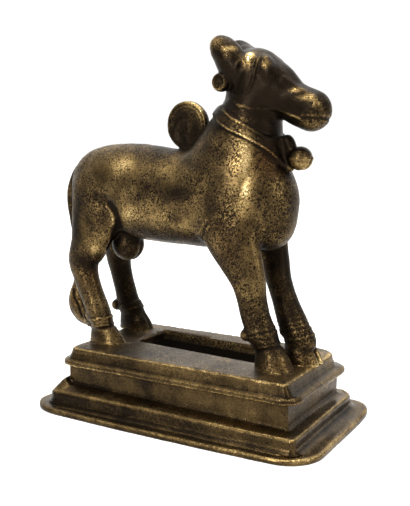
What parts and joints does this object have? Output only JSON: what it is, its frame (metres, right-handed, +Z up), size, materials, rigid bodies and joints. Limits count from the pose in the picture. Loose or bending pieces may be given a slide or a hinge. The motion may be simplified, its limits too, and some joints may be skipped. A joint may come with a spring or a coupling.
{
  "type": "Nandi bull figure on plinth",
  "caption": "Standing cast brass Nandi bull with collar, bell and disc hump on a hollow stepped plinth; a devotional figure that rests on its own base.",
  "frame": {"origin": "on the floor, at the middle of the whole object's footprint with the tail included", "axes": "+X along the plinth towards the bull's head, +Y to the bull's left, +Z up"},
  "size_m": [0.1362, 0.0766, 0.1495],
  "materials": {
    "patinated_brass": "cast brass under a dark brown patina, rubbed to gold on the high places, finely pitted"
  },
  "bodies": {
    "root": {"nandi_casting": "patinated_brass"}
  },
  "joints": []
}
